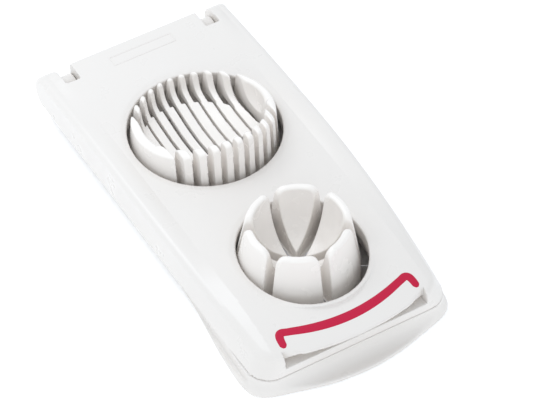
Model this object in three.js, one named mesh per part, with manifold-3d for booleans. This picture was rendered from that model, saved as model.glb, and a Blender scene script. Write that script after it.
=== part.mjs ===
// Two-way egg slicer: a hinged lid carries ten slicing wires and three wedge wires, and a base tray
// carries a ribbed cradle and a six-petalled cup that stand up through the lid's two openings.
// Millimetres, +X from the hinge to the grip, +Y across, +Z up, origin at the middle of the footprint.
import * as THREE from 'three';
import { mergeVertices } from 'three/addons/utils/BufferGeometryUtils.js';
import Module from 'manifold-3d';

const wasm = await Module();
wasm.setup();

// ---- driving dimensions ----
const GAP = 0.35;             // play between pieces that meet
const WALL = 2.2;             // moulded wall thickness
const CUT = 1;                // how far a cutter runs past the face it cuts

const LID = {
  rear: -101.7,               // rear edge between the ears
  front: 96.5,                // front wall
  bottom: 9.25,               // lower edge of the skirt
  flat: 26,                   // height of the flat
  corner: 11,                 // front corner radius in plan
  crease: 39,                 // where the flat meets the side rails
  droopStart: 54.5,            // the flat curves down to the grip from here
  droop: 0.0032,              // droop for each squared millimetre past the start
};
const RAIL = {
  peakX: -11.5,               // highest point of the arched side rails
  rise: 1.4,                  // crown above the flat at the peak
  rearFall: 0.00043,          // fall for each squared millimetre behind the peak
  frontFall: 0.0007,          // and in front of it
  fillet: 3,
  crown: 4.5,                 // distance of the crown from the outer wall
};

const HINGE = { x: -96.7, z: 16.5 };
const EAR_RADIUS = 9;
const LUG_RADIUS = 5.6;
const PIN_RADIUS = 1.55;
const PIN_PLAY = 0.1;         // running clearance of the pins
const NOTCH = { front: -90.7, inner: 33.2, outer: 40.3 };

const SLICER_HOLE = { x: -34.2, long: 35.3, wide: 35.3 };
const WEDGE_HOLE = { x: 50.6, long: 30.7, wide: 28.4 };
const LIP = { width: 2.6, depth: 1 };               // countersink round each opening
const COLLAR = { inset: 1.6, wall: 2.4 };           // wall under the lid round each opening
const FRAME = { inset: 2, width: 4.5, top: 17.2, bottom: 10.6 };

const WIRE = { z: 12.9, radius: 0.3, count: 10, pitch: 5.6, shift: 1 };
const WEDGE_WIRE_STEP = 0.75;                       // the wedge wires cross one above another
const WEDGE_WIRE_LEAD = 1.4;                        // and ahead of the cup's axis, as they swing back
const PETALS_Y = -1.2;                              // the cup's slots cross a little left of its axis
const FERRULE = { radius: 0.55, length: 2, bite: 1.7 };
const GROOVE = { width: 1.9, above: 1 };

const SEAT = 2.3;                                   // underside of both inserts
const SLOT_FLOOR = 10.4;
const INSERT_HOLLOW_TOP = 8.2;
const CRADLE = { x: -35, foot: 34.9, rim: 31.9, top: 45 };
const CRADLE_RIM = { middle: 33.5, slope: 0.15, hoodTop: 44.6, hoodSide: 36.4, hoodHalf: 26 };
const BOWL = { shift: -2, narrow: 0.93, squeeze: 0.95 };
const FRONT_SLOT = { left: 1.5, right: 1.05 };      // either side of a wire, through the wall
const REAR_SLOT = { left: 2.1, right: 0.9 };
const DISH = { shift: 5.3, left: 4, radius: 29.5, half: 22.5, inner: 27, slot: 0.65 };  // narrower slots
const CUP = { x: 47.9, y: -0.6, foot: 28.2, footTop: 14, rim: 23.2, top: 41.5, slot: 4.4, petals: 6 };
const CUP_STRETCH = 0.97;                           // the cup is a little narrower from back to front

const TRAY = { floor: 2, wallTop: 8.9, rear: -101, front: 96.5, rearWallTop: 6, rearWallEnd: -84 };
const TRAY_HALF = { rear: 45.5, front: 48.9 };
const FOOT = { height: 2.2, rearHalf: 44.5, frontHalf: 51.4, tip: 105.7 };

const GRIP_WINDOW = { half: 35.5, bottom: 14, top: 17.4, back: 90.5 };
const TAB = { middle: 99.6, knee: 96.4, kneeHalf: 28.5, side: 92.6 };   // front edge, with cut corners
const STRIPE = { depth: 0.9, groove: 1.2 };
const PLATE = { x0: -95, x1: -89.1, half: 16.2, line: 0.5, height: 0.3 };

// ---- solids ----
function solid(geometry) {
  const plain = geometry.clone();
  plain.deleteAttribute('normal');
  plain.deleteAttribute('uv');
  const merged = mergeVertices(plain, 1e-4);
  const place = merged.attributes.position;
  const corner = [new THREE.Vector3(), new THREE.Vector3(), new THREE.Vector3()];
  const triangles = [];
  let volume = 0;
  for (let i = 0; i < merged.index.count; i += 3) {
    const [a, b, c] = [0, 1, 2].map((k) => merged.index.getX(i + k));
    if (a === b || b === c || c === a) continue;
    [a, b, c].forEach((vertex, k) => corner[k].fromBufferAttribute(place, vertex));
    volume += corner[0].dot(corner[1].clone().cross(corner[2]));
    triangles.push([a, b, c]);
  }
  const outward = volume > 0 ? triangles : triangles.map(([a, b, c]) => [a, c, b]);
  return new wasm.Manifold(new wasm.Mesh({
    numProp: 3,
    vertProperties: new Float32Array(place.array),
    triVerts: new Uint32Array(outward.flat()),
  }));
}

function geometryOf(manifold) {
  const mesh = manifold.simplify(0.01).getMesh();
  const geometry = new THREE.BufferGeometry();
  geometry.setAttribute('position', new THREE.BufferAttribute(new Float32Array(mesh.vertProperties), 3));
  geometry.setIndex(new THREE.BufferAttribute(new Uint32Array(mesh.triVerts), 1));
  geometry.computeVertexNormals();
  return geometry;
}

function block(x0, x1, y0, y1, z0, z1) {
  const geometry = new THREE.BoxGeometry(x1 - x0, y1 - y0, z1 - z0);
  return solid(geometry.translate((x0 + x1) / 2, (y0 + y1) / 2, (z0 + z1) / 2));
}

const extrusion = (shape, depth, curveSegments) =>
  new THREE.ExtrudeGeometry(shape, { depth, bevelEnabled: false, curveSegments });

// A plan outline (X, Y) raised from z0 to z1.
const raise = (shape, z0, z1, curveSegments = 6) =>
  solid(extrusion(shape, z1 - z0, curveSegments).translate(0, 0, z0));

// A side outline (X, Z) run across from y0 to y1.
const across = (shape, y0, y1, curveSegments = 10) =>
  solid(extrusion(shape, y1 - y0, curveSegments).rotateX(Math.PI / 2).translate(0, y1, 0));

// An end outline (Y, Z) run along from x0 to x1.
const endToSide = new THREE.Matrix4().set(0, 0, 1, 0, 1, 0, 0, 0, 0, 1, 0, 0, 0, 0, 0, 1);
const along = (shape, x0, x1, curveSegments = 10) =>
  solid(extrusion(shape, x1 - x0, curveSegments).applyMatrix4(endToSide).translate(x0, 0, 0));

// A closed profile of [radius, z] pairs turned about a vertical axis through (x, 0).
function turned(profile, x, segments = 48, stretch = 1) {
  const points = profile.map(([radius, z]) => new THREE.Vector2(radius, z));
  const geometry = new THREE.LatheGeometry(points, segments).rotateX(Math.PI / 2);
  return solid(geometry.scale(stretch, 1, 1).translate(x, 0, 0));
}

const rod = (radius, x, z, y0, y1, segments = 20) =>
  solid(new THREE.CylinderGeometry(radius, radius, y1 - y0, segments).translate(x, (y0 + y1) / 2, z));

const bothSides = (build) => build(1).add(build(-1));

// Sections of equal point count, each a list of [y, z], joined along X and capped at both ends.
function loft(stations, sectionAt) {
  const sections = stations.map(sectionAt);
  const count = sections[0].length;
  const positions = [];
  stations.forEach((x, s) => sections[s].forEach(([y, z]) => positions.push(x, y, z)));
  const indices = [];
  for (let s = 0; s + 1 < stations.length; s += 1) {
    for (let p = 0; p < count; p += 1) {
      const a = s * count + p;
      const b = s * count + ((p + 1) % count);
      indices.push(a, b, a + count, b, b + count, a + count);
    }
  }
  [[0, 1], [stations.length - 1, -1]].forEach(([s, turn]) => {
    const outline = sections[s].map(([y, z]) => new THREE.Vector2(y, z));
    THREE.ShapeUtils.triangulateShape(outline, []).forEach(([a, b, c]) => {
      indices.push(...[a, turn > 0 ? c : b, turn > 0 ? b : c].map((k) => s * count + k));
    });
  });
  const geometry = new THREE.BufferGeometry();
  geometry.setAttribute('position', new THREE.Float32BufferAttribute(positions, 3));
  geometry.setIndex(indices);
  return solid(geometry);
}

// ---- the lid's curved top ----
const squaredPast = (x, start) => Math.max(0, x - start) ** 2;
const flatHeight = (x) => LID.flat - LID.droop * squaredPast(x, LID.droopStart);
const railHeight = (x) => LID.flat + RAIL.rise
  - RAIL.frontFall * squaredPast(x, RAIL.peakX) - RAIL.rearFall * squaredPast(-x, -RAIL.peakX);
const shoulderHalf = (x) => 49.7 - 0.00037 * squaredPast(x, -20);
const skirtHalf = (x) => 49.4 - 0.005 * x;

function lidSection(x, inset, bottom) {
  const shoulder = shoulderHalf(x) - inset;
  const rail = railHeight(x) - inset;
  const flat = flatHeight(x) - inset;
  const fillet = Math.max(RAIL.fillet - inset, 0.8);
  const crease = LID.crease - 0.5 * inset;
  const half = [[skirtHalf(x) - inset, bottom]];
  for (let step = 0; step <= 3; step += 1) {
    const angle = (step / 3) * (Math.PI / 2);
    half.push([
      shoulder - fillet + fillet * Math.cos(angle),
      rail - fillet + fillet * Math.sin(angle),
    ]);
  }
  half.push([shoulder - RAIL.crown, rail]);
  half.push([crease + 2, flat + 0.25 * (rail - flat)]);
  half.push([crease, flat]);
  half.push([crease * 0.5, flat]);
  return [...half, ...half.map(([y, z]) => [-y, z]).reverse()];
}

const lidStations = (from, to, steps) =>
  Array.from({ length: steps + 1 }, (_, i) => from + (i / steps) * (to - from));
const lidBody = (inset, bottom, from, to, steps = 24) =>
  loft(lidStations(from, to, steps), (x) => lidSection(x, inset, bottom));

// ---- plan outlines ----
const ellipse = (x, long, wide) => {
  const shape = new THREE.Shape();
  shape.absellipse(x, 0, long, wide, 0, Math.PI * 2);
  return shape;
};

const holePrism = (hole, grow, z0, z1, curveSegments = 28) =>
  raise(ellipse(hole.x, hole.long + grow, hole.wide + grow), z0, z1, curveSegments);

const holeRing = (hole, inner, outer, z0, z1) =>
  holePrism(hole, outer, z0, z1).subtract(holePrism(hole, inner, z0 - CUT, z1 + CUT));

// The skirt's plan: only its front corners and front wall cut the lofted body.
function skirtPlan(inset) {
  const [start, corner] = [LID.front - LID.corner, LID.corner - inset];
  const side = skirtHalf(start) + 0.1 - LID.corner;
  const shape = new THREE.Shape();
  shape.moveTo(-115, -60);
  shape.lineTo(start - 3, -60);
  shape.lineTo(start, -side - corner);
  shape.absarc(start, -side, corner, -Math.PI / 2, 0);
  shape.absarc(start, side, corner, 0, Math.PI / 2);
  shape.lineTo(start - 3, 60);
  shape.lineTo(-115, 60);
  return shape;
}

// The grip's front edge: an arc that bulges forward by (middle - side) over twice the half width.
function gripArc(middle, side, half) {
  const sagitta = middle - side;
  const radius = (half * half + sagitta * sagitta) / (2 * sagitta);
  return { x: middle - radius, radius, angle: Math.asin(half / radius) };
}

function tabPlan() {
  const arc = gripArc(TAB.middle, TAB.knee, TAB.kneeHalf);
  const shape = new THREE.Shape();
  shape.moveTo(GRIP_WINDOW.back - 4, -GRIP_WINDOW.half);
  shape.lineTo(TAB.side, -GRIP_WINDOW.half);
  shape.absarc(arc.x, 0, arc.radius, -arc.angle, arc.angle);
  shape.lineTo(TAB.side, GRIP_WINDOW.half);
  shape.lineTo(GRIP_WINDOW.back - 4, GRIP_WINDOW.half);
  return shape;
}

// The bracket-shaped accent: a forward-bulging band whose two ends hook forward.
function stripePlan(grow) {
  const back = gripArc(88.3 - grow, 84 - grow, 27);
  const front = gripArc(92.5 + grow, 87.6 + grow, 27);
  const reach = 92.7 + grow;
  const shape = new THREE.Shape();
  shape.moveTo(reach, -35 - grow);
  shape.lineTo(86.9, -34 - grow);
  shape.quadraticCurveTo(82.4 - grow, -33 - grow, 82.4 - grow, -30);
  shape.lineTo(83.4 - grow, -27);
  shape.absarc(back.x, 0, back.radius, -back.angle, back.angle);
  shape.lineTo(82.4 - grow, 30);
  shape.quadraticCurveTo(82.4 - grow, 33 + grow, 86.9, 34 + grow);
  shape.lineTo(reach, 35 + grow);
  shape.lineTo(reach, 31.8 - grow);
  shape.lineTo(88.4, 30.6 - grow);
  shape.quadraticCurveTo(86.2 + grow, 30 - grow, 86.8 + grow, 28);
  shape.absarc(front.x, 0, front.radius, front.angle, -front.angle, true);
  shape.lineTo(86.8 + grow, -28);
  shape.quadraticCurveTo(86.2 + grow, -30 + grow, 88.4, -30.6 + grow);
  shape.lineTo(reach, -31.8 + grow);
  return shape;
}

// ---- lid ----
function lidHinge(lid) {
  const rearTrim = block(-120, LID.rear, -NOTCH.outer, NOTCH.outer, 0, 40);
  const notches = bothSides((side) => {
    const edges = [side * NOTCH.inner, side * NOTCH.outer].sort((a, b) => a - b);
    return block(-120, NOTCH.front, edges[0], edges[1], 0, 40);
  });
  const ears = rod(EAR_RADIUS, HINGE.x, HINGE.z, -60, 60, 40);
  const earTrim = bothSides((side) => {
    const edges = [side * NOTCH.outer, side * 60].sort((a, b) => a - b);
    return block(-120, HINGE.x, edges[0], edges[1], 0, 40).subtract(ears);
  });
  const pinHoles = rod(PIN_RADIUS + PIN_PLAY, HINGE.x, HINGE.z, -46, 46);
  return lid.subtract(rearTrim).subtract(notches).subtract(earTrim).subtract(pinHoles);
}

function lidCavity() {
  const room = lidBody(WALL, LID.bottom - CUT, LID.rear + WALL, LID.front);
  const hingeBlocks = bothSides((side) => {
    const edges = [side * (NOTCH.inner - WALL), side * 60].sort((a, b) => a - b);
    return block(-120, NOTCH.front + WALL, edges[0], edges[1], 0, 40);
  });
  return room.intersect(raise(skirtPlan(WALL), 0, 40)).subtract(hingeBlocks);
}

function gripWindow() {
  const above = flatHeight(TAB.side);
  const inFront = block(GRIP_WINDOW.back, 110, -GRIP_WINDOW.half, GRIP_WINDOW.half, GRIP_WINDOW.bottom, above + 8)
    .subtract(raise(tabPlan(), 0, 60, 12));
  const under = block(GRIP_WINDOW.back, 110, -GRIP_WINDOW.half, GRIP_WINDOW.half,
    GRIP_WINDOW.bottom, GRIP_WINDOW.top);
  return inFront.add(under);
}

function lidShell() {
  const tab = raise(tabPlan(), GRIP_WINDOW.bottom + CUT, 40, 12);
  const outline = raise(skirtPlan(0), 0, 40).add(tab);
  let lid = lidBody(0, LID.bottom, -110, 101, 28).intersect(outline);
  lid = lid.subtract(lidCavity());
  for (const hole of [SLICER_HOLE, WEDGE_HOLE]) {
    lid = lid.add(holeRing(hole, COLLAR.inset, COLLAR.inset + COLLAR.wall, FRAME.top + GAP, LID.flat - 1));
  }
  return lidHinge(lid);
}

// A shallow cone that softens the edge of an opening.
function openingLip(hole) {
  const ratio = (hole.long + LIP.width) / (hole.wide + LIP.width);
  const profile = [
    [0, LID.flat - LIP.depth],
    [hole.wide, LID.flat - LIP.depth],
    [hole.wide + LIP.width, LID.flat + 0.02],
    [hole.wide + LIP.width, LID.flat + 4],
    [0, LID.flat + 4],
  ];
  return turned(profile, hole.x, 56, ratio);
}

function nameplateFrame() {
  const { x0, x1, half, line, height } = PLATE;
  const outer = block(x0, x1, -half, half, LID.flat - 0.5, LID.flat + height);
  return outer.subtract(block(x0 + line, x1 - line, line - half, half - line, LID.flat - 2, LID.flat + 2));
}

function makeLid() {
  let lid = lidShell();
  for (const hole of [SLICER_HOLE, WEDGE_HOLE]) {
    lid = lid.subtract(openingLip(hole)).subtract(holePrism(hole, 0, 0, 40));
  }
  const grooveFloor = lidBody(STRIPE.groove, 0, 70, 104, 10);
  const groove = raise(stripePlan(0.3), 10, 40, 12).subtract(grooveFloor);
  return lid.subtract(gripWindow()).subtract(groove).add(nameplateFrame());
}

function makeStripe() {
  const prism = raise(stripePlan(0), 10, 40, 12);
  return lidBody(0, 0, 70, 104, 10).intersect(prism).subtract(lidBody(STRIPE.depth, -1, 69, 105, 10));
}

// ---- wires and their frames ----
const wireRows = Array.from(
  { length: WIRE.count }, (_, i) => (i - (WIRE.count - 1) / 2) * WIRE.pitch + WIRE.shift);
const wedgeAngles = Array.from({ length: CUP.petals / 2 }, (_, i) => (i * Math.PI) / (CUP.petals / 2));

// Distance from (x, y) to an ellipse, along a direction.
function reach(hole, grow, x, y, angle) {
  const [a, b] = [hole.long + grow, hole.wide + grow];
  const [u, v] = [(x - hole.x) / a, y / b];
  const [du, dv] = [Math.cos(angle) / a, Math.sin(angle) / b];
  const [p, q, r] = [du * du + dv * dv, u * du + v * dv, u * u + v * v - 1];
  return (Math.sqrt(q * q - p * r) - q) / p;
}

// A wire from one ferrule to the other, drawn along +Y and then laid along its direction.
function makeWire(hole, x, y, z, angle) {
  const grow = FRAME.inset + FERRULE.bite;
  const ahead = reach(hole, grow, x, y, angle);
  const behind = -reach(hole, grow, x, y, angle + Math.PI);
  const profile = [
    [0, behind], [FERRULE.radius, behind], [FERRULE.radius, behind + FERRULE.length],
    [WIRE.radius, behind + FERRULE.length], [WIRE.radius, ahead - FERRULE.length],
    [FERRULE.radius, ahead - FERRULE.length], [FERRULE.radius, ahead], [0, ahead],
  ].map(([radius, distance]) => new THREE.Vector2(radius, distance));
  const geometry = new THREE.LatheGeometry(profile, 8).rotateZ(angle - Math.PI / 2);
  return solid(geometry.translate(x, y, z));
}

const slicingWires = wireRows.map((y) => ({ x: SLICER_HOLE.x, y, z: WIRE.z, angle: 0 }));
const wedgeWires = wedgeAngles.map((angle, i) => (
  { x: CUP.x + WEDGE_WIRE_LEAD, y: PETALS_Y, z: WIRE.z + i * WEDGE_WIRE_STEP, angle }));

function makeFrame(hole, wires) {
  let frame = holeRing(hole, FRAME.inset, FRAME.inset + FRAME.width, FRAME.bottom, FRAME.top);
  for (const { x, y, z, angle } of wires) {
    const height = z + GROOVE.above - FRAME.bottom + CUT;
    const groove = new THREE.BoxGeometry(120, GROOVE.width, height).rotateZ(angle);
    const reachIn = holePrism(hole, FRAME.inset + FERRULE.bite + GAP, 0, 40);
    frame = frame.subtract(
      solid(groove.translate(x, y, FRAME.bottom - CUT + height / 2)).intersect(reachIn));
  }
  return frame;
}

// ---- inserts ----
const insertHollow = (x, radius) => turned(
  [[0, SEAT - CUT], [radius, SEAT - CUT], [radius - 1, INSERT_HOLLOW_TOP], [0, INSERT_HOLLOW_TOP]], x, 40);

// What stays below the cradle's rim: a gently tilted rim with a raised hood over the front wall.
function cradleRim() {
  const { middle, slope, hoodTop, hoodSide, hoodHalf } = CRADLE_RIM;
  const reachX = 40;
  const tilt = new THREE.Shape();
  tilt.moveTo(CRADLE.x - reachX, 0);
  tilt.lineTo(CRADLE.x + reachX, 0);
  tilt.lineTo(CRADLE.x + reachX, middle + slope * reachX);
  tilt.lineTo(CRADLE.x - reachX, middle - slope * reachX);
  const hood = new THREE.Shape();
  hood.moveTo(-hoodHalf, 0);
  hood.lineTo(hoodHalf, 0);
  hood.lineTo(hoodHalf, hoodSide);
  hood.quadraticCurveTo(0, 2 * hoodTop - hoodSide, -hoodHalf, hoodSide);
  return across(tilt, -reachX, reachX).add(along(hood, CRADLE.x + 8, CRADLE.x + reachX));
}

function cradleSlots() {
  const long = 80;
  const [x0, x1] = [CRADLE.x - long / 2, CRADLE.x + long / 2];
  const back = turned([[0, 0], [DISH.radius, 0], [DISH.radius, 60], [0, 60]], CRADLE.x + DISH.shift, 40)
    .translate([0, -DISH.left, 0]);
  const dish = turned([[0, 0], [DISH.inner, 0], [DISH.inner, 60], [0, 60]], CRADLE.x, 40)
    .intersect(back).intersect(block(x0, x1, -DISH.half, DISH.half, 0, 60));
  const rows = (from, to, left, right) => wireRows
    .map((y) => block(from, to, y - left, y + right, SLOT_FLOOR, 60))
    .reduce((all, next) => all.add(next));
  const front = rows(CRADLE.x, x1, FRONT_SLOT.left, FRONT_SLOT.right);
  const rear = rows(x0, CRADLE.x, REAR_SLOT.left, REAR_SLOT.right);
  return front.add(rear).subtract(dish).add(rows(x0, x1, DISH.slot, DISH.slot));
}

function makeCradle() {
  const wall = turned([[0, SEAT], [CRADLE.foot, SEAT], [CRADLE.rim, CRADLE.top], [0, CRADLE.top]], CRADLE.x, 56);
  const bowl = turned(
    [[0, 14.9], [10, 15.7], [17, 17.3], [21, 18.3], [25, 19.2], [27.6, 21], [29.4, 25.6],
      [30.2, 31], [30.5, 50], [0, 50]].map(([radius, z]) => [radius * BOWL.narrow, z]),
    CRADLE.x + BOWL.shift, 56, BOWL.squeeze / BOWL.narrow);
  return wall.intersect(cradleRim()).subtract(bowl).subtract(cradleSlots())
    .subtract(insertHollow(CRADLE.x, CRADLE.foot - 3.4));
}

function makeCup() {
  const { x, y, foot, footTop, rim, top, slot } = CUP;
  const wall = turned(
    [[0, SEAT], [foot, SEAT], [foot, footTop], [rim, top - 0.8], [rim - 0.8, top], [0, top]],
    x, 54, CUP_STRETCH);
  const bowl = turned(
    [[0, 16.2], [6, 17], [12, 20.1], [16.6, 26], [18.9, 32], [19.9, 38], [20.3, top + 0.1], [20.3, 50],
      [0, 50]], x, 54, CUP_STRETCH);
  let cup = wall.subtract(bowl).subtract(insertHollow(x, foot - 4)).translate([0, y, 0]);
  for (const angle of wedgeAngles) {
    const cut = new THREE.BoxGeometry(80, slot, 60).rotateZ(angle);
    cup = cup.subtract(solid(cut.translate(x, PETALS_Y, SLOT_FLOOR + 30)));
  }
  return cup;
}

// ---- base tray ----
function trayPlan(inset) {
  const [rear, front] = [TRAY.rear + inset, TRAY.front - inset];
  const [narrow, broad] = [TRAY_HALF.rear - inset, TRAY_HALF.front - inset];
  const corner = LID.corner - inset;
  const shape = new THREE.Shape();
  shape.moveTo(rear, -narrow);
  shape.lineTo(15, -narrow);
  shape.bezierCurveTo(45, -narrow, 55, -broad, front - corner, -broad);
  shape.absarc(front - corner, corner - broad, corner, -Math.PI / 2, 0);
  shape.absarc(front - corner, broad - corner, corner, 0, Math.PI / 2);
  shape.bezierCurveTo(55, broad, 45, narrow, 15, narrow);
  shape.lineTo(rear, narrow);
  return shape;
}

function footPlan() {
  const { rearHalf, frontHalf, tip } = FOOT;
  const lip = gripArc(tip, 95, 40);
  const shape = new THREE.Shape();
  shape.moveTo(TRAY.rear, -rearHalf);
  shape.lineTo(10, -rearHalf);
  shape.bezierCurveTo(40, -rearHalf, 55, -frontHalf, 82, -frontHalf);
  shape.quadraticCurveTo(92, -frontHalf, 95, -40);
  shape.absarc(lip.x, 0, lip.radius, -lip.angle, lip.angle);
  shape.quadraticCurveTo(92, frontHalf, 82, frontHalf);
  shape.bezierCurveTo(55, frontHalf, 40, rearHalf, 10, rearHalf);
  shape.lineTo(TRAY.rear, rearHalf);
  return shape;
}

function hingeLugs() {
  const shape = new THREE.Shape();
  shape.moveTo(HINGE.x + LUG_RADIUS, CUT);
  shape.absarc(HINGE.x, HINGE.z, LUG_RADIUS, 0, Math.PI);
  shape.lineTo(HINGE.x - LUG_RADIUS, CUT);
  const lugs = bothSides((side) => {
    const edges = [side * (NOTCH.inner + GAP), side * (NOTCH.outer - GAP)].sort((a, b) => a - b);
    return across(shape, edges[0], edges[1], 16);
  });
  return lugs.subtract(rod(PIN_RADIUS + PIN_PLAY, HINGE.x, HINGE.z, -60, 60));
}

function makeTray() {
  const wall = raise(trayPlan(0), 0, TRAY.wallTop).subtract(raise(trayPlan(WALL), TRAY.floor, 20));
  const rearTrim = block(-120, TRAY.rearWallEnd, -60, 60, TRAY.rearWallTop, 20);
  return wall.subtract(rearTrim).add(raise(footPlan(), 0, FOOT.height, 8).subtract(
    raise(trayPlan(WALL), TRAY.floor, 20))).add(hingeLugs());
}

function makePin(side) {
  const edges = [side * (NOTCH.inner - 1.7), side * 45.5].sort((a, b) => a - b);
  return rod(PIN_RADIUS, HINGE.x, HINGE.z, edges[0], edges[1]);
}

// ---- materials and assembly ----
const plastic = (color, roughness) => new THREE.MeshStandardMaterial({ color, roughness, metalness: 0 });
const steel = () => new THREE.MeshStandardMaterial({ color: '#c9ccd0', roughness: 0.25, metalness: 1 });

function piece(name, manifold, material) {
  const mesh = new THREE.Mesh(geometryOf(manifold), material);
  mesh.name = name;
  return mesh;
}

const two = (n) => String(n).padStart(2, '0');

const base = new THREE.Group();
base.add(
  piece('base_tray', makeTray(), plastic('#f1f1f0', 0.3)),
  piece('slicer_cradle', makeCradle(), plastic('#f4f3f1', 0.25)),
  piece('wedge_cup', makeCup(), plastic('#f0efee', 0.25)),
  piece('hinge_pin_left', makePin(-1), steel()),
  piece('hinge_pin_right', makePin(1), steel()),
);

const lid = new THREE.Group();
lid.add(
  piece('lid_cover', makeLid(), plastic('#ececeb', 0.3)),
  piece('grip_accent', makeStripe(), plastic('#c8203f', 0.35)),
  piece('slicer_wire_frame', makeFrame(SLICER_HOLE, slicingWires), plastic('#ececeb', 0.35)),
  piece('wedge_wire_frame', makeFrame(WEDGE_HOLE, wedgeWires), plastic('#ececeb', 0.35)),
);
slicingWires.forEach(({ x, y, z, angle }, i) => {
  lid.add(piece(`slicing_wire_${two(i + 1)}`, makeWire(SLICER_HOLE, x, y, z, angle), steel()));
});
wedgeWires.forEach(({ x, y, z, angle }, i) => {
  lid.add(piece(`wedge_wire_${two(i + 1)}`, makeWire(WEDGE_HOLE, x, y, z, angle), steel()));
});

const eggSlicer = new THREE.Group();
eggSlicer.add(base, lid);
export default eggSlicer;
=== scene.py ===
"""Two-way egg slicer: the looks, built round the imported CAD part.

The moulded pieces are signed distances with every edge filleted, polygonised here. The wires and
pins are swept bars, the accent follows the lid's top, and the nameplate lies on its flat. Sizes are
in millimetres until make_mesh() turns them into metres. The camera and the lights are placed in
metres. Left and right are as the photo shows them, from the thumb lip's end: left is towards -Y.
"""

import math

import bpy
import numpy as np
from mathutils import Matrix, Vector


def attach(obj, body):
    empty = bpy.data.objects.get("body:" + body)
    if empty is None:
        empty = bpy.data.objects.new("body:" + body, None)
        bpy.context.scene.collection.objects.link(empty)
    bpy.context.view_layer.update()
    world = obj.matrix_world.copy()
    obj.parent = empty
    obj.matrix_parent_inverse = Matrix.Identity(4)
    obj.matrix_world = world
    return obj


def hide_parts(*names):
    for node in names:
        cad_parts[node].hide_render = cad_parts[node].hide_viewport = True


MM = 0.001
CAMERA_AIM = (-1.75, 13.51, 0.0)
CAMERA_BACK = (0.5786, -0.3437, 0.7397)
CAMERA_DISTANCE = 1.357
CAMERA_LENS = 201.9

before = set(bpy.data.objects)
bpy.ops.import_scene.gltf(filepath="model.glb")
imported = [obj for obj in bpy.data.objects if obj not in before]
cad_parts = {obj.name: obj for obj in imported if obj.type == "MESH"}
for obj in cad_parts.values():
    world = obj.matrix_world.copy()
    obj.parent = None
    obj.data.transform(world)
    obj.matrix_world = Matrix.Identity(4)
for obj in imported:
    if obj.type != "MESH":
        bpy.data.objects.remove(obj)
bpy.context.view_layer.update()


# ---- camera ----
def add_camera():
    target = Vector(CAMERA_AIM) * MM
    back = Vector(CAMERA_BACK).normalized()
    data = bpy.data.cameras.new("camera")
    data.sensor_width = 36.0
    data.lens = CAMERA_LENS
    data.clip_start = 0.01
    data.clip_end = 20.0
    camera = bpy.data.objects.new("camera", data)
    camera.location = target + back * CAMERA_DISTANCE
    camera.rotation_euler = back.to_track_quat("Z", "Y").to_euler()
    bpy.context.scene.collection.objects.link(camera)
    bpy.context.scene.camera = camera


# ---- distance tools, which broadcast over arrays ----
def meet(a, b, radius):
    """Where both hold, with the outside edge between them rounded."""
    corner = np.hypot(np.maximum(a + radius, 0), np.maximum(b + radius, 0))
    return np.minimum(np.maximum(a, b), -radius) + corner


def join(a, b, radius):
    """Where either holds, with the inside corner between them filled."""
    return -meet(-a, -b, radius)


def cut(a, b, radius):
    """a without b."""
    return meet(a, -b, radius)


def ramp(value, start, end):
    """A smooth rise from 0 at start to 1 at end."""
    t = np.clip((value - start) / (end - start), 0, 1)
    return t * t * (3 - 2 * t)


def disc(x, y, centre_x, long, wide):
    """Distance to an ellipse about (centre_x, 0)."""
    u = x - centre_x
    level = np.hypot(u / long, y / wide) + 1e-9
    slope = np.hypot(u / long**2, y / wide**2) + 1e-9
    return (level - 1) * level / slope


def slab(value, low, high):
    """Distance to what lies between two parallel planes."""
    return np.maximum(low - value, value - high)


def outline(x, y, corners):
    """Distance to a closed outline of [x, y] corners in plan, negative inside."""
    shape = np.broadcast(x, y).shape
    px = np.broadcast_to(x, shape)
    py = np.broadcast_to(y, shape)
    nearest = np.full(shape, 1e9)
    crossings = np.zeros(shape, bool)
    for (ax, ay), (bx, by) in zip(corners, np.roll(corners, -1, axis=0)):
        ex, ey = bx - ax, by - ay
        t = np.clip(((px - ax) * ex + (py - ay) * ey) / (ex * ex + ey * ey), 0, 1)
        nearest = np.minimum(nearest, np.hypot(px - ax - t * ex, py - ay - t * ey))
        if ay != by:
            between = (py < ay) != (py < by)
            crossings ^= between & (px < ax + (py - ay) * ex / ey)
    return np.where(crossings, -nearest, nearest)


def tabulated(distance, low, high, step):
    """A plane distance read from a fine table of itself."""
    axes = [np.arange(a, b + step, step) for a, b in zip(low, high)]
    table = distance(*np.meshgrid(*axes, indexing="ij"))
    last = [len(a) - 2 for a in axes]

    def read(x, y):
        u, v = (x - low[0]) / step, (y - low[1]) / step
        i = np.clip(np.floor(u).astype(int), 0, last[0])
        j = np.clip(np.floor(v).astype(int), 0, last[1])
        u, v = u - i, v - j
        near = table[i, j] * (1 - v) + table[i, j + 1] * v
        far = table[i + 1, j] * (1 - v) + table[i + 1, j + 1] * v
        return near * (1 - u) + far * u

    return read


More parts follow.
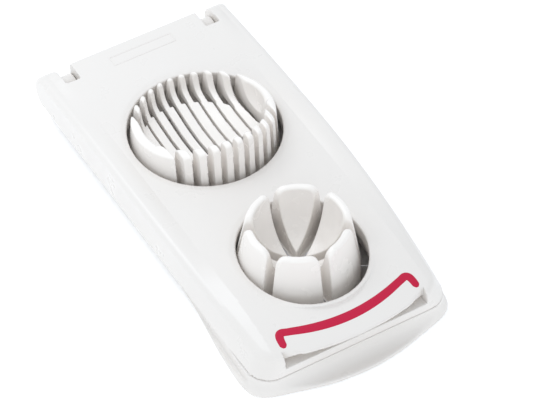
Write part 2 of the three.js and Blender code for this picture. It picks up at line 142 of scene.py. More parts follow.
# ---- polygonising ----
def net(distance, low, high, step):
    """Vertices and quads of the surface where distance is zero."""
    axes = [np.arange(a - 2 * step, b + 2.5 * step, step) for a, b in zip(low, high)]
    grid = np.meshgrid(*axes, indexing="ij", sparse=True)
    field = np.broadcast_to(distance(*grid), [len(a) for a in axes])
    inside = field < 0
    cells = [n - 1 for n in field.shape]
    points, owners, quads = [], [], []
    for axis in range(3):
        u, v = (axis + 1) % 3, (axis + 2) % 3
        first = [slice(None)] * 3
        second = [slice(None)] * 3
        first[axis] = slice(None, -1)
        second[axis] = slice(1, None)
        first, second = tuple(first), tuple(second)
        at = np.argwhere(inside[first] != inside[second])
        clear = (at[:, u] > 0) & (at[:, v] > 0)
        clear &= (at[:, u] < cells[u]) & (at[:, v] < cells[v])
        at = at[clear]
        here = field[first][tuple(at.T)]
        there = field[second][tuple(at.T)]
        point = at.astype(float)
        point[:, axis] += here / (here - there)
        step_u, step_v = np.eye(3, dtype=int)[u], np.eye(3, dtype=int)[v]
        ring = [at - step_u - step_v, at - step_v, at, at - step_u]
        ring = np.stack([np.ravel_multi_index(cell.T, cells) for cell in ring], axis=1)
        points.append(np.repeat(point, 4, axis=0))
        owners.append(ring.reshape(-1))
        quads.append(np.where((here < 0)[:, None], ring, ring[:, ::-1]))
    owner, member = np.unique(np.concatenate(owners), return_inverse=True)
    point = np.concatenate(points)
    share = np.bincount(member)
    vertices = np.stack([np.bincount(member, point[:, k]) / share for k in range(3)], axis=1)
    faces = np.searchsorted(owner, np.concatenate(quads))
    return vertices * step + [a[0] for a in axes], faces


def gradient(distance, p, reach=0.03):
    """Slope of a distance at the points p."""
    slope = []
    for k in range(3):
        offset = np.zeros(3)
        offset[k] = reach
        ahead = distance(*(p + offset).T)
        behind = distance(*(p - offset).T)
        slope.append((ahead - behind) / (2 * reach))
    return np.stack(slope, axis=1)


def settle(distance, p, step, rounds=3):
    """Moves points onto the surface."""
    for _ in range(rounds):
        slope = gradient(distance, p)
        size = np.maximum((slope * slope).sum(axis=1), 0.2)
        move = np.clip(distance(*p.T), -step, step) / size
        p = p - slope * move[:, None]
    return p


def make_mesh(name, vertices, faces, normals=None):
    """A smooth-shaded object in the scene, from vertices in millimetres."""
    mesh = bpy.data.meshes.new(name)
    mesh.from_pydata((np.asarray(vertices) * MM).tolist(), [], [list(map(int, f)) for f in faces])
    mesh.validate()
    mesh.shade_smooth()
    if normals is not None:
        mesh.normals_split_custom_set_from_vertices(normals.tolist())
    piece = bpy.data.objects.new(name, mesh)
    bpy.context.scene.collection.objects.link(piece)
    return piece


def thinned(vertices, faces, triangles):
    """The mesh collapsed to about so many triangles."""
    piece = make_mesh("thinning", vertices, faces)
    collapse = piece.modifiers.new("collapse", "DECIMATE")
    collapse.ratio = min(1.0, triangles / (2 * len(faces)))
    shown = piece.evaluated_get(bpy.context.evaluated_depsgraph_get())
    mesh = shown.to_mesh()
    place = np.empty(len(mesh.vertices) * 3)
    mesh.vertices.foreach_get("co", place)
    mesh.calc_loop_triangles()
    corners = np.empty(len(mesh.loop_triangles) * 3, dtype=np.int32)
    mesh.loop_triangles.foreach_get("vertices", corners)
    shown.to_mesh_clear()
    used = piece.data
    bpy.data.objects.remove(piece)
    bpy.data.meshes.remove(used)
    return place.reshape(-1, 3) / MM, corners.reshape(-1, 3)


def moulded(name, distance, low, high, step, triangles):
    """A smooth moulded piece from its distance."""
    vertices, faces = net(distance, low, high, step)
    vertices = settle(distance, vertices, step, 2)
    vertices, faces = thinned(vertices, faces, triangles)
    vertices = settle(distance, vertices, 0.3 * step)
    slope = gradient(distance, vertices)
    normals = slope / np.maximum(np.linalg.norm(slope, axis=1, keepdims=True), 1e-6)
    return make_mesh(name, vertices, faces, normals)


# ---- materials ----
def new_material(name):
    material = bpy.data.materials.new(name)
    material.use_nodes = True
    nodes = material.node_tree.nodes
    return material, nodes, material.node_tree.links, nodes["Principled BSDF"]


def noise(nodes, links, coordinate, scale, detail):
    """Soft noise, scale waves to the metre."""
    texture = nodes.new("ShaderNodeTexNoise")
    texture.inputs["Scale"].default_value = scale
    texture.inputs["Detail"].default_value = detail
    links.new(coordinate, texture.inputs["Vector"])
    return texture.outputs["Fac"]


def spread(nodes, links, source, low, high):
    """Noise mapped to a range of numbers."""
    mapping = nodes.new("ShaderNodeMapRange")
    mapping.inputs["From Min"].default_value = 0.3
    mapping.inputs["From Max"].default_value = 0.7
    mapping.inputs["To Min"].default_value = low
    mapping.inputs["To Max"].default_value = high
    links.new(source, mapping.inputs["Value"])
    return mapping.outputs["Result"]


def tinted(nodes, links, source, dark, light):
    """Noise mapped to a mix of two colours."""
    mix = nodes.new("ShaderNodeMix")
    mix.data_type = "RGBA"
    mix.inputs[6].default_value = (*dark, 1)
    mix.inputs[7].default_value = (*light, 1)
    links.new(source, mix.inputs[0])
    return mix.outputs[2]


def bumped(nodes, links, shader, heights):
    """Bumps chained from (height, strength, distance) triples."""
    normal = None
    for height, strength, distance in heights:
        bump = nodes.new("ShaderNodeBump")
        bump.inputs["Strength"].default_value = strength
        bump.inputs["Distance"].default_value = distance
        links.new(height, bump.inputs["Height"])
        if normal is not None:
            links.new(normal, bump.inputs["Normal"])
        normal = bump.outputs["Normal"]
    links.new(normal, shader.inputs["Normal"])


def plastic(name, dark, light, rough, gloss=0.5):
    """Moulded plastic: faint mottling, a fine satin texture and slow sink marks."""
    material, nodes, links, shader = new_material(name)
    where = nodes.new("ShaderNodeTexCoord").outputs["Object"]
    cloud = noise(nodes, links, where, 18, 3)
    smear = noise(nodes, links, where, 90, 4)
    grain = noise(nodes, links, where, 2400, 2)
    links.new(tinted(nodes, links, cloud, dark, light), shader.inputs["Base Color"])
    links.new(spread(nodes, links, smear, *rough), shader.inputs["Roughness"])
    bumped(nodes, links, shader, [(cloud, 0.12, 0.0006), (grain, 0.06, 0.00004)])
    shader.inputs["IOR"].default_value = 1.49
    shader.inputs["Specular IOR Level"].default_value = gloss
    return material


def metal(name, colour, rough):
    """Drawn steel: fine streaks along the wire and slight stains."""
    material, nodes, links, shader = new_material(name)
    where = nodes.new("ShaderNodeTexCoord").outputs["Object"]
    stretch = nodes.new("ShaderNodeMapping")
    stretch.inputs["Scale"].default_value = (0.05, 1, 1)
    links.new(where, stretch.inputs["Vector"])
    streak = noise(nodes, links, stretch.outputs["Vector"], 2600, 3)
    stain = noise(nodes, links, where, 160, 3)
    dark = [c * 0.86 for c in colour]
    links.new(tinted(nodes, links, stain, dark, colour), shader.inputs["Base Color"])
    links.new(spread(nodes, links, streak, *rough), shader.inputs["Roughness"])
    bumped(nodes, links, shader, [(streak, 0.15, 0.00003)])
    shader.inputs["Metallic"].default_value = 1.0
    return material


def place(piece, material, body, slot, *nodes):
    """Finishes a piece: its material, the body it rides on, and the CAD nodes it stands for."""
    piece.data.materials.append(material)
    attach(piece, body)
    if nodes:
        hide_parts(*nodes)


# ---- sizes shared by the pieces ----
WALL = 2.2
FRONT, CORNER = 96.5, 11                 # front end of the lid and the tray, and its corners' radius
HINGE_X, HINGE_Z = -96.7, 16.5
LID_BOTTOM = 9.25
FLAT = 26                                # height of the lid's flat
DROOP, DROOP_START = 0.0032, 54.5        # the flat curves down towards the front
SLICER = (-34.2, 35.3, 35.3)             # openings: centre along X, half length, half width
WEDGER = (50.6, 30.7, 28.4)
WINDOW_HALF, WINDOW_BACK = 35.5, 90.5    # finger window behind the front bar
BAR_TOP = 14.0
CRADLE_X = -35.0
CUP_X, CUP_Y = 47.9, -0.6
SEAT = 2.3                               # where the inserts stand on the tray
SLOT_FLOOR = 10.4                        # how far down the inserts' slots reach
LID_BORE, TRAY_BORE, PIN = 1.75, 1.65, 1.55    # radii at the hinge
NOTCH_INSIDE, NOTCH_OUTSIDE = 33.2, 40.3       # the lid's notches for the tray's lugs
NOTCH_FRONT, NOTCH_PLAY = -90.7, 0.35
PETALS_Y = -1.2                          # where the cup's slots cross
ROW_COUNT, ROW_PITCH, ROW_SHIFT = 10, 5.6, 1
ROWS = [(i - (ROW_COUNT - 1) / 2) * ROW_PITCH + ROW_SHIFT for i in range(ROW_COUNT)]


def past(x, start):
    """Square of how far x has gone past start."""
    return np.maximum(x - start, 0) ** 2


def front_plan(x, side, half, inset):
    """Plan distance to a long shape with a straight front end and two round corners."""
    corner = CORNER - inset
    qx, qy = x - (FRONT - CORNER), side - (half - corner)
    plan = np.minimum(np.maximum(qx, qy), 0)
    return plan + np.hypot(np.maximum(qx, 0), np.maximum(qy, 0)) - corner


def pin_hole(x, side, z, radius, end):
    """A bore on the hinge's axis, out to end on both sides."""
    return meet(np.hypot(x - HINGE_X, z - HINGE_Z) - radius, side - end, 0.1)


# ---- lid ----
LID_REAR = -101.7
RAIL_TOP, RAIL_CREST = 27.4, -11.5       # the side rails arch up to a crest
RAIL_AHEAD, RAIL_BEHIND = 0.0007, 0.00043      # how fast they fall on either side of it
RAIL_FOOT, RAIL_RUN = 39, 6.2            # where a rail starts to rise, and over what width
RAIL_SOFT, RAIL_FULL = -88, -66          # from a soft rise at the rear to the full one
DIP, DIP_RUN = 0.5, 3.4                  # the flat dips round the openings
SKIRT_HALF, SKIRT_TAPER = 49.4, 0.005
SHOULDER_HALF, SHOULDER_DROP = 49.7, 3
SHOULDER_TAPER, SHOULDER_START = 0.00037, -20
EAR_RADIUS, EAR_INSIDE = 9, 36           # the hinge ears at the rear corners
EAR_SLOPE = 0.6                          # how fast an ear widens ahead of the hinge
LID_BORE_END = 46
HINGE_BLOCK, HINGE_BLOCK_INSIDE = -88.5, 31    # solid behind this X and outside this Y
GRIP_BLOCK, GRIP_BLOCK_HALF = 88.5, 37.5       # solid ahead of this X and within this Y
COLLAR_GAP = 0.2                         # from an opening to the collar that hangs round it
COLLAR_BOTTOM, COLLAR_TOP = 17.7, 25
HOLE_DRAFT = 0.02
TAB_MIDDLE, TAB_KNEE, KNEE_HALF = 99.6, 96.2, 28.5
TAB_BOW, TAB_SLOPE = 0.0036, 0.52        # its edge inside and outside the knees
TAB_BACK, TAB_LAP = 89, 0.4              # how far it runs back and sideways into the lid
TAB_SKIN, TAB_END = 1.3, 4.0             # the tab's thickness, and how much its ends gain


def rail_height(x):
    ahead, behind = past(x, RAIL_CREST), past(-x, -RAIL_CREST)
    return RAIL_TOP - RAIL_AHEAD * ahead - RAIL_BEHIND * behind


def lid_top(x, y):
    """Height of the lid: a flat between two arched rails, dished round the openings."""
    flat = FLAT - DROOP * past(x, DROOP_START)
    rise = rail_height(x) - flat
    t = np.clip((np.abs(y) - RAIL_FOOT) / RAIL_RUN, 0, 1)
    climb = np.where(rise > 0, np.sin(t * np.pi / 2), t)
    soft = t * t
    top = flat + rise * (soft + (climb - soft) * ramp(x, RAIL_SOFT, RAIL_FULL))
    for centre, long, wide in (SLICER, WEDGER):
        top = top - DIP * (1 - ramp(disc(x, y, centre, long, wide), 0, DIP_RUN))
    return top


def above_top(x, y, z):
    """Distance above the lid's top, allowing for its slope."""
    slope = 2 * DROOP * np.maximum(x - DROOP_START, 0)
    return (z - lid_top(x, y)) / np.hypot(1, slope)


def lid_half(x, z):
    """Half width of the lid: its skirt leans from the foot to the shoulder."""
    skirt = SKIRT_HALF - SKIRT_TAPER * x
    shoulder = SHOULDER_HALF - SHOULDER_TAPER * past(x, SHOULDER_START)
    up = np.clip((z - LID_BOTTOM) / (rail_height(x) - SHOULDER_DROP - LID_BOTTOM), 0, 1.2)
    return skirt + (shoulder - skirt) * up


def lid_body(x, y, z):
    """The lid's outside, without its holes."""
    side = np.abs(y)
    body = meet(above_top(x, y, z), front_plan(x, side, lid_half(x, z), 0), 3)
    from_hinge = x - HINGE_X
    behind = np.hypot(from_hinge, z - HINGE_Z) - EAR_RADIUS
    ahead = np.abs(z - HINGE_Z) - EAR_RADIUS - EAR_SLOPE * from_hinge
    ear = np.where(from_hinge < 0, behind, ahead)
    return meet(body, np.where(side > EAR_INSIDE, ear, LID_REAR - x), 1.6)


def lid_cavity(x, y, z):
    """The room under the lid, with blocks left for the hinge and the grip."""
    side = np.abs(y)
    plan = front_plan(x, side, lid_half(x, z) - WALL, WALL)
    room = np.maximum(meet(above_top(x, y, z) + WALL, plan, 1.0), LID_REAR + WALL - x)
    hinge_block = np.maximum(x - HINGE_BLOCK, HINGE_BLOCK_INSIDE - side)
    grip_block = np.maximum(GRIP_BLOCK - x, side - GRIP_BLOCK_HALF)
    return cut(room, np.minimum(hinge_block, grip_block), 0.8)


def window_room(x, y, z):
    """The finger window over the front bar."""
    return np.maximum(np.maximum(np.abs(y) - WINDOW_HALF, BAR_TOP - z), WINDOW_BACK - x)


def tab_front(y):
    """Front edge of the grip tab: a shallow arc with its corners cut back."""
    arc = TAB_MIDDLE - TAB_BOW * y * y
    corner = TAB_KNEE - TAB_SLOPE * (np.abs(y) - KNEE_HALF)
    return np.minimum(arc, corner)


def grip_tab(x, y, z):
    """The lid's skin carried forward over the window, thicker at the tab's ends."""
    above = above_top(x, y, z)
    deep = TAB_SKIN + TAB_END * np.clip((np.abs(y) - KNEE_HALF) / (WINDOW_HALF - KNEE_HALF), 0, 1)
    tab = meet(np.maximum(above, -deep - above), 0.97 * (x - tab_front(y)), 0.6)
    return np.maximum(tab, np.maximum(np.abs(y) - WINDOW_HALF - TAB_LAP, TAB_BACK - x))


def lid_distance(x, y, z):
    """The lid: a shell with two collared openings, the finger window and the grip tab."""
    side = np.abs(y)
    shell = meet(lid_body(x, y, z), LID_BOTTOM - z, 0.5)
    shell = cut(shell, lid_cavity(x, y, z), 0.4)
    shell = np.minimum(cut(shell, window_room(x, y, z), 0.5), grip_tab(x, y, z))
    for centre, long, wide in (SLICER, WEDGER):
        hole = disc(x, y, centre, long, wide)
        ring = slab(hole, COLLAR_GAP, COLLAR_GAP + WALL)
        collar = meet(ring, slab(z, COLLAR_BOTTOM, COLLAR_TOP), 0.5)
        draft = HOLE_DRAFT * (z - FLAT)
        shell = join(shell, collar, 0.7)
        shell = cut(shell, hole + draft, 0.6)
    notch = meet(slab(side, NOTCH_INSIDE, NOTCH_OUTSIDE), x - NOTCH_FRONT, 0.6)
    shell = cut(shell, notch, 0.6)
    return cut(shell, pin_hole(x, side, z, LID_BORE, LID_BORE_END), 0.1)


# ---- base tray ----
TRAY_REAR, TRAY_TOP, TRAY_FLOOR = -101, 8.9, 2
REAR_WALL_END, REAR_WALL_TOP = -84, 6    # the wall is lower behind this X
TRAY_HALF, TRAY_FLARE = 45.5, 3.4        # half width at the rear, and its gain to the front
FLARE_START, FLARE_END = 12, 88
FOOT_HEIGHT = 2.2
FOOT_HALF, FOOT_FLARE = 44.5, 6.9        # half width of the foot at the rear, and its gain to the front
FOOT_TIP = 105.7
LIP_BOW, LIP_HALF = 34.91, 58            # the thumb lip is an arc of an ellipse of these half axes
FOOT_FILLET, LIP_FILLET = 0.8, 5.2       # round the wall's foot, and what it gains at the lip
LUG_RADIUS = 5.6
TRAY_BORE_END = 60                       # past the lugs


def tray_plan(x, y, inset):
    half = TRAY_HALF + TRAY_FLARE * ramp(x, FLARE_START, FLARE_END) - inset
    return np.maximum(front_plan(x, np.abs(y), half, inset), TRAY_REAR + inset - x)


def foot_corners():
    """Outline of the foot flange with its bowed thumb lip."""
    half = [(TRAY_REAR, FOOT_HALF), (10, FOOT_HALF)]
    half += [(x, FOOT_HALF + FOOT_FLARE * float(ramp(x, 10, 84))) for x in np.arange(16, 85, 4)]
    half += [(86.5, 51.2), (89, 50.4), (91.5, 49), (93.5, 46.8), (95, 43.6), (96, 40)]
    for y in np.arange(37, -1, -3.0):
        x = FOOT_TIP - LIP_BOW * (1 - math.sqrt(1 - (y / LIP_HALF) ** 2))
        if x > 96.2:
            half.append((x, y))
    half.append((FOOT_TIP, 0.0))
    return np.array(half + [(x, -y) for x, y in half[::-1][1:]])


foot_outline = foot_corners()
foot_plan = tabulated(lambda x, y: outline(x, y, foot_outline), (-110, -60), (112, 60), 0.4)


def hinge_lug(x, side, z):
    """The two lugs that carry the pins: round on top, straight down to the floor."""
    lug = np.hypot(x - HINGE_X, np.maximum(z - HINGE_Z, 0)) - LUG_RADIUS
    lug = np.where(z < HINGE_Z, np.abs(x - HINGE_X) - LUG_RADIUS, lug)
    across = slab(side, NOTCH_INSIDE + NOTCH_PLAY, NOTCH_OUTSIDE - NOTCH_PLAY)
    return np.maximum(meet(lug, across, 0.6), 1 - z)


def tray_distance(x, y, z):
    """The tray: a low walled pan on a flange, with the hinge lugs."""
    side = np.abs(y)
    wall = meet(tray_plan(x, y, 0), slab(z, 0, TRAY_TOP), 0.5)
    lower_rear = np.maximum(x - REAR_WALL_END, REAR_WALL_TOP - z)
    wall = cut(wall, lower_rear, 0.8)
    foot = meet(foot_plan(x, y), slab(z, 0, FOOT_HEIGHT), 0.9)
    fillet = FOOT_FILLET + LIP_FILLET * ramp(x, 82, 95)
    tray = meet(join(wall, foot, fillet), -z, 0.5)
    room = meet(tray_plan(x, y, WALL), TRAY_FLOOR - z, 1.0)
    tray = cut(tray, room, 0.5)
    tray = join(tray, hinge_lug(x, side, z), 1.0)
    return cut(tray, pin_hole(x, side, z, TRAY_BORE, TRAY_BORE_END), 0.1)


# ---- inserts ----
CRADLE_RADIUS, CRADLE_DRAFT = 34.9, 0.0703
DRAFT_COSINE = 0.9975                    # turns the drafted wall's radius into a distance
CRADLE_RIM, RIM_TILT = 33.5, 0.15
HOOD_TOP, HOOD_ARCH, HOOD_START = 44.6, 8.2, 8
BOWL_SHIFT, BOWL_LENGTH, BOWL_WIDTH = 2, 0.95, 0.93
BOWL_GAIN = 1.7                          # the bowl reaches further out on its right side
RIB_DEPTH = 2.8
CRADLE_HOLLOW, RIB_HOLLOW_TOP = 31, 16   # radius and top of the room under the ribs
DISH_X, DISH_Y, DISH_RADIUS = 5.3, -4, 29.5    # the slots are narrow inside the dish
DISH_INNER, DISH_HALF = 27, 22.5
SLOT_LEFT, SLOT_RIGHT = 1.5, 1.05        # either side of a wire, through the front wall
REAR_LEFT, REAR_RIGHT = 0.7, -0.2        # what the rear wall's slots gain
NARROW_HALF, NARROW_GAIN = 0.5, 0.4      # narrow slots are widest near one row
WIDEST_ROW, ROW_SPREAD = -7.4, 8
CUP_TOP, CUP_FOOT, CUP_RIM = 41.5, 28.2, 23.2    # height, and outer radii at the foot and the rim
CUP_STRETCH = 0.97                       # the cup is a little narrower from back to front
LEAN_START, LEAN_RUN = 14, 28            # its wall leans in over these heights
CUP_HOLLOW, CUP_HOLLOW_TOP = 24.2, 8.2
PETAL_GAP = 4.4


def smooth_points(points, count, rounds):
    """A rounded curve along few points, in fine steps. A point's first two numbers are its place."""
    points = np.array(points, float)
    spacing = np.hypot(*np.diff(points[:, :2], axis=0).T)
    along = np.concatenate([[0], np.cumsum(spacing)])
    fine = np.linspace(0, along[-1], count)
    curve = np.stack([np.interp(fine, along, column) for column in points.T], axis=1)
    for _ in range(rounds):
        curve[1:-1] = 0.25 * curve[:-2] + 0.5 * curve[1:-1] + 0.25 * curve[2:]
    return curve


def bowl_solid(points):
    """Distance to what a bowl holds, from a few [radius, height] points of its inside."""
    curve = smooth_points(points, 90, 30)
    rim = points[-1][0]
    corners = np.concatenate([[(-5, points[0][1])], curve, [(rim, 60), (-5, 60)]])
    return tabulated(lambda r, z: outline(r, z, corners), (0, 0), (45, 50), 0.15)


cradle_bowl = bowl_solid([
    (0, 14.9), (10, 15.7), (17, 17.3), (21, 18.3), (25, 18.9), (28, 20),
    (29.6, 25), (30.2, 31), (30.5, 50),
])
cup_bowl = bowl_solid([(0, 16), (6, 16.8), (12, 20), (16.6, 26), (18.9, 32), (19.9, 38), (20.4, 50)])


def cradle_rim(u, y, z):
    """Height over the rim: it tilts up to the front, and its front part rises into a hood."""
    tilt = z - (CRADLE_RIM + RIM_TILT * u)
    hood = np.maximum(z - (HOOD_TOP - HOOD_ARCH * (y / 26) ** 2), HOOD_START - u)
    return join(tilt, hood, 1.5)


def cradle_dish(u, y, radius):
    """Plan of the middle of the bowl, where the slots are narrow."""
    middle = np.hypot(u - DISH_X, y - DISH_Y) - DISH_RADIUS
    return np.maximum(middle, np.maximum(radius - DISH_INNER, np.abs(y) - DISH_HALF))


def cradle_distance(x, y, z):
    """The ribbed bowl: its slots are wide through the wall and narrow in the middle."""
    u = x - CRADLE_X
    radius = np.hypot(u, y)
    draft = CRADLE_DRAFT * (z - SEAT)
    wall = (radius - (CRADLE_RADIUS - draft)) * DRAFT_COSINE
    rim = cradle_rim(u, y, z)
    body = meet(meet(wall, rim, 1.5), SEAT - z, 0.4)
    bowl_side = y - BOWL_GAIN * ramp(y, 23.5, 31)
    bowl = cradle_bowl(np.hypot((u + BOWL_SHIFT) / BOWL_LENGTH, bowl_side / BOWL_WIDTH), z)
    body = cut(body, bowl, 1.2 + 1.6 * ramp(u, -14, 16))
    under_ribs = np.maximum(radius - CRADLE_HOLLOW, z - RIB_HOLLOW_TOP)
    under_ribs = meet(under_ribs, RIB_DEPTH - bowl, 1.0)
    body = cut(body, under_ribs, 0.4)
    dish = cradle_dish(u, y, radius)
    back = ramp(-u, 0, 10)
    soft = 0.22 + 1.05 * ramp(rim, -4, -0.3) + 0.3 * ramp(-u, 27, 31)
    left, right = SLOT_LEFT + REAR_LEFT * back, SLOT_RIGHT + REAR_RIGHT * back
    for row in ROWS:
        wide = np.maximum(slab(y - row, -left, right), -dish)
        gain = NARROW_GAIN * math.exp(-(((row - WIDEST_ROW) / ROW_SPREAD) ** 2))
        narrow = np.abs(y - row) - NARROW_HALF - gain
        slot = meet(np.minimum(wide, narrow), SLOT_FLOOR - z, 0.3)
        body = cut(body, slot, soft)
    return body


def cup_distance(x, y, z):
    """The six-petalled cup: it stands on a straight foot and leans in above it."""
    u = x - CUP_X
    radius = np.hypot(u / CUP_STRETCH, y - CUP_Y)
    lean = np.clip((z - LEAN_START) / LEAN_RUN, 0, 1)
    wall = (radius - (CUP_FOOT - (CUP_FOOT - CUP_RIM) * lean)) * CUP_STRETCH
    body = cut(meet(wall, SEAT - z, 0.4), cup_bowl(radius, z), 0.3)
    body = cut(body, meet(radius - CUP_HOLLOW, z - CUP_HOLLOW_TOP, 1.0), 0.4)
    petals = z - CUP_TOP
    for k in range(3):
        angle = k * np.pi / 3
        across = np.abs(u * np.sin(angle) - (y - PETALS_Y) * np.cos(angle)) - PETAL_GAP / 2
        petals = meet(petals, -meet(across, SLOT_FLOOR - z, 0.4), 0.4 + 3.6 * ramp(z, 33, 38))
    return meet(body, petals, 0.5 + 0.9 * ramp(z, 34, 40))


# ---- wires and their frames ----
WIRE_Z = 12.9
WIRE_RADIUS, FERRULE_RADIUS = 0.27, 0.54
WIRE_SIDES, PIN_SIDES = 14, 40
WEDGE_AHEAD, WEDGE_STEP = 1.4, 0.75      # the wedge wires cross ahead of the slots, one over another
RING_BOTTOM, RING_TOP = 10.6, 17.2
RING_INSIDE, RING_OUTSIDE = 2, 6.5       # from the opening's edge
GROOVE_HALF, GROOVE_END = 0.95, 4
FERRULE_END = 3.7                        # where a wire ends in its groove
SLICING = [(SLICER[0], row, WIRE_Z, 0.0) for row in ROWS]    # wires: x, y, z and heading
WEDGING = [
    (CUP_X + WEDGE_AHEAD, PETALS_Y, WIRE_Z + WEDGE_STEP * k, k * math.pi / 3) for k in range(3)
]


def frame_distance(hole, wires):
    """Distance to the ring round an opening, grooved for its wires."""
    centre, long, wide = hole

    def distance(x, y, z):
        ring = disc(x, y, centre, long, wide)
        body = meet(slab(ring, RING_INSIDE, RING_OUTSIDE), slab(z, RING_BOTTOM, RING_TOP), 0.6)
        for at_x, at_y, at_z, angle in wires:
            across = np.abs((x - at_x) * np.sin(angle) - (y - at_y) * np.cos(angle))
            groove = np.maximum(across - GROOVE_HALF, z - at_z - 1)
            body = cut(body, np.maximum(groove, ring - GROOVE_END), 0.2)
        return body

    return distance


def reach(hole, grow, wire, sign):
    """How far a wire runs to the ferrule groove in its frame."""
    centre, long, wide = hole
    at_x, at_y, _, angle = wire
    a, b = long + grow, wide + grow
    u, v = (at_x - centre) / a, at_y / b
    du, dv = sign * math.cos(angle) / a, sign * math.sin(angle) / b
    p, q, r = du * du + dv * dv, u * du + v * dv, u * u + v * v - 1
    return (math.sqrt(q * q - p * r) - q) / p


def swept(stations, segments):
    """Vertices and faces of a round bar along X, from (distance, radius) stations."""
    vertices, faces = [], []
    for distance, radius in stations:
        for k in range(segments):
            angle = 2 * math.pi * k / segments
            vertices.append((distance, radius * math.cos(angle), radius * math.sin(angle)))
    for s in range(len(stations) - 1):
        for k in range(segments):
            a, b = s * segments + k, s * segments + (k + 1) % segments
            faces.append((a, a + segments, b + segments, b))
    last = (len(stations) - 1) * segments
    faces.append(tuple(range(segments)))
    faces.append(tuple(reversed(range(last, last + segments))))
    return np.array(vertices), faces


def add_wire(name, hole, wire, material):
    """A wire from groove to groove, with a swaged ferrule on each end."""
    ahead = reach(hole, FERRULE_END, wire, 1)
    behind = -reach(hole, FERRULE_END, wire, -1)
    thick = FERRULE_RADIUS
    ferrule = [(0, 0.3), (0.15, thick - 0.08), (0.4, thick)]
    ferrule += [(1.6, thick), (1.9, thick - 0.1), (2.0, WIRE_RADIUS)]
    stations = [(behind + d, r) for d, r in ferrule]
    stations += [(ahead - d, r) for d, r in reversed(ferrule)]
    vertices, faces = swept(stations, WIRE_SIDES)
    at_x, at_y, at_z, angle = wire
    cosine, sine = math.cos(angle), math.sin(angle)
    turn = np.array([[cosine, -sine, 0], [sine, cosine, 0], [0, 0, 1]])
    piece = make_mesh(name + "_drawn", vertices @ turn.T + [at_x, at_y, at_z], faces)
    place(piece, material, "lid", "wire_steel", name)


def add_pin(name, side, material):
    """A hinge pin with bevelled ends: side is -1 for the left one and 1 for the right one."""
    stations = [(31.5, 1.2), (31.8, 1.5), (32.2, PIN), (44.8, PIN), (45.2, 1.5), (45.5, 1.2)]
    vertices, faces = swept(stations, PIN_SIDES)
    vertices = vertices[:, [1, 0, 2]] * [1, side, 1] + [HINGE_X, 0, HINGE_Z]
    if side > 0:
        faces = [face[::-1] for face in faces]
    piece = make_mesh(name + "_turned", vertices, faces)
    place(piece, material, "base", "pin_steel", name)


# ---- the crimson accent ----
ACCENT_SECTION = [                       # share of the half width, lift over the lid
    (-1, -0.7), (-1, 0.0), (-0.9, 0.08), (-0.45, 0.1), (0, 0.1),
    (0.45, 0.1), (0.9, 0.08), (1, 0.0), (1, -0.7),
]


def accent_path():
    """Middle line and half width of the bracket-shaped band, from one hooked end to the other."""
    half = []
    for y in np.arange(0, 28, 3.0):
        share = (y / 27) ** 2
        half.append((90.4 - 4.55 * share, y, 2.1 - 0.3 * share))
    half += [(85.3, 29.2, 1.8), (84.6, 30.6, 1.85), (84.6, 31.8, 1.9), (85.6, 32.7, 1.9)]
    half += [(87.2, 33.1, 1.8), (89.2, 33.3, 1.7), (91.6, 33.4, 1.6)]
    return half[::-1] + [(x, -y, width) for x, y, width in half[1:]]


def add_accent(material):
    """The band: the section swept along the path, with blunt ends."""
    line = smooth_points(accent_path(), 220, 12)
    heading = np.gradient(line[:, :2], axis=0)
    heading /= np.linalg.norm(heading, axis=1, keepdims=True)
    normal = np.stack([-heading[:, 1], heading[:, 0]], axis=1)
    vertices = []
    for i, (x, y, width) in enumerate(line):
        from_end = min(i, len(line) - 1 - i)
        blunt = math.sqrt(min(1, (from_end + 0.4) / 4))
        for share, lift in ACCENT_SECTION:
            px = x + normal[i, 0] * share * width * blunt
            py = y + normal[i, 1] * share * width * blunt
            vertices.append((px, py, float(lid_top(px, py)) + lift))
    count = len(ACCENT_SECTION)
    faces = []
    for i in range(len(line) - 1):
        for k in range(count):
            a, b = i * count + k, i * count + (k + 1) % count
            faces.append((a, b, b + count, a + count))
    last = (len(line) - 1) * count
    faces.append(tuple(reversed(range(count))))
    faces.append(tuple(range(last, last + count)))
    piece = make_mesh("grip_accent_band", vertices, faces)
    place(piece, material, "lid", "crimson_plastic", "grip_accent")


PLATE_REAR, PLATE_FRONT, PLATE_HALF, PLATE_LINE = -95.0, -89.1, 16.2, 0.5


def add_nameplate(material):
    """A blank plate outlined by a fine raised line."""
    outer = (PLATE_REAR, PLATE_FRONT, PLATE_HALF)
    inner = (PLATE_REAR + PLATE_LINE, PLATE_FRONT - PLATE_LINE, PLATE_HALF - PLATE_LINE)
    sunk, raised = FLAT - 0.2, FLAT + 0.18
    vertices = []
    for (x0, x1, half), z in ((outer, sunk), (outer, raised), (inner, raised), (inner, sunk)):
        vertices += [(x0, -half, z), (x1, -half, z), (x1, half, z), (x0, half, z)]
    faces = []
    for ring in range(4):
        for k in range(4):
            here, there = ring * 4, (ring + 1) % 4 * 4
            after = (k + 1) % 4
            faces.append((here + k, here + after, there + after, there + k))
    piece = make_mesh("nameplate_outline", vertices, faces)
    soften = piece.modifiers.new("soften", "BEVEL")
    soften.width = 0.0001
    soften.segments = 2
    place(piece, material, "lid", "white_plastic")


# ---- studio ----
COOL = (0.945, 1.0, 1.058)


def add_area(name, position, target, size, power):
    data = bpy.data.lights.new(name, "AREA")
    data.shape = "RECTANGLE"
    data.size, data.size_y = size
    data.energy = power
    data.color = COOL
    light = bpy.data.objects.new(name, data)
    light.location = position
    away = Vector(position) - Vector(target)
    light.rotation_euler = away.to_track_quat("Z", "Y").to_euler()
    bpy.context.scene.collection.objects.link(light)


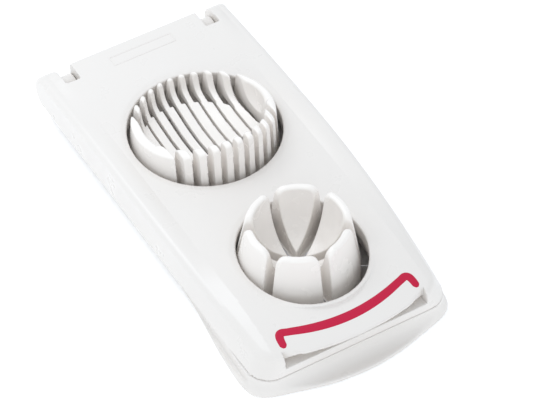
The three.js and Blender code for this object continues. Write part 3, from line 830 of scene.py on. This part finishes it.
def add_floor():
    size = 6.0
    corners = [(-size, -size, 0), (size, -size, 0), (size, size, 0), (-size, size, 0)]
    mesh = bpy.data.meshes.new("floor")
    mesh.from_pydata(corners, [], [(0, 1, 2, 3)])
    floor = bpy.data.objects.new("floor", mesh)
    bpy.context.scene.collection.objects.link(floor)
    material, _, _, shader = new_material("floor_paper")
    shader.inputs["Base Color"].default_value = (0.95, 0.95, 0.95, 1)
    shader.inputs["Roughness"].default_value = 0.9
    shader.inputs["Emission Color"].default_value = (1, 1, 1, 1)
    shader.inputs["Emission Strength"].default_value = 0.2
    mesh.materials.append(material)


def add_studio():
    scene = bpy.context.scene
    scene.view_settings.view_transform = "Standard"
    world = bpy.data.worlds.new("studio")
    world.use_nodes = True
    background = world.node_tree.nodes["Background"]
    background.inputs["Color"].default_value = (*COOL, 1)
    background.inputs["Strength"].default_value = 0.88
    scene.world = world
    add_floor()
    add_area("key", (-0.16, -0.12, 0.4), (0, 0, 0), (0.3, 0.3), 0.68)
    add_area("front", (0.8, -0.1, 0.3), (0, 0, 0.02), (0.8, 0.3), 0.9)


# ---- build ----
COARSE, FINE = 0.8, 0.5                  # grid steps


def add_mouldings(white, painted_light_insert):
    """The moulded pieces, each within a box and polygonised at a step."""
    slicer_ring = frame_distance(SLICER, SLICING)
    wedger_ring = frame_distance(WEDGER, WEDGING)
    lid = moulded("lid_moulding", lid_distance, (-106, -50.5, 9), (100.5, 50.5, 28), COARSE, 90000)
    place(lid, white, "lid", "white_plastic", "lid_cover")
    tray = moulded("tray_moulding", tray_distance, (-103, -52, 0), (106, 52, 22.5), COARSE, 50000)
    place(tray, white, "base", "white_plastic", "base_tray")
    low, high = (-70.5, -35.5, 2), (0.5, 35.5, 45)
    # the cradle and the cup wear the lightened insert white, whose extra lightness is painted light
    cradle = moulded("cradle_moulding", cradle_distance, low, high, FINE, 90000)
    place(cradle, painted_light_insert, "base", "white_plastic", "slicer_cradle")
    cup = moulded("cup_moulding", cup_distance, (18.5, -29.5, 2), (77.5, 29.5, 45), FINE, 60000)
    place(cup, painted_light_insert, "base", "white_plastic", "wedge_cup")
    low, high = (-76.5, -42.5, 10), (8, 42.5, 17.5)
    ring = moulded("slicer_frame_moulding", slicer_ring, low, high, FINE, 16000)
    place(ring, white, "lid", "white_plastic", "slicer_wire_frame")
    low, high = (12.5, -35.5, 10), (88.5, 35.5, 17.5)
    ring = moulded("wedge_frame_moulding", wedger_ring, low, high, FINE, 14000)
    place(ring, white, "lid", "white_plastic", "wedge_wire_frame")


def main():
    add_camera()
    white = plastic("white_moulding", (0.748, 0.707, 0.668), (0.781, 0.738, 0.697), (0.26, 0.36))
    # the inserts' white is the lid's white plastic made lighter: the extra lightness is painted light
    # that brightens the inserts sunk in the lid's openings
    painted_light_insert = plastic("white_insert_painted_light", (0.86, 0.813, 0.768), (0.885, 0.837, 0.79), (0.2, 0.3))
    crimson = plastic("crimson_accent", (0.47, 0.004, 0.034), (0.53, 0.007, 0.05), (0.34, 0.46), 0.3)
    # painted shade: the wire's steel is set darker than the pin's, which dims the wires' glint where
    # they show in the shaded gaps round the cup
    wire = metal("drawn_wire_painted_shade", (0.60, 0.60, 0.62), (0.24, 0.38))
    pin = metal("turned_pin", (0.72, 0.72, 0.74), (0.25, 0.4))

    add_mouldings(white, painted_light_insert)
    for number, row in enumerate(SLICING, 1):
        add_wire(f"slicing_wire_{number:02d}", SLICER, row, wire)
    for number, row in enumerate(WEDGING, 1):
        add_wire(f"wedge_wire_{number:02d}", WEDGER, row, wire)
    add_pin("hinge_pin_left", -1, pin)
    add_pin("hinge_pin_right", 1, pin)
    add_accent(crimson)
    add_nameplate(white)
    add_studio()


main()
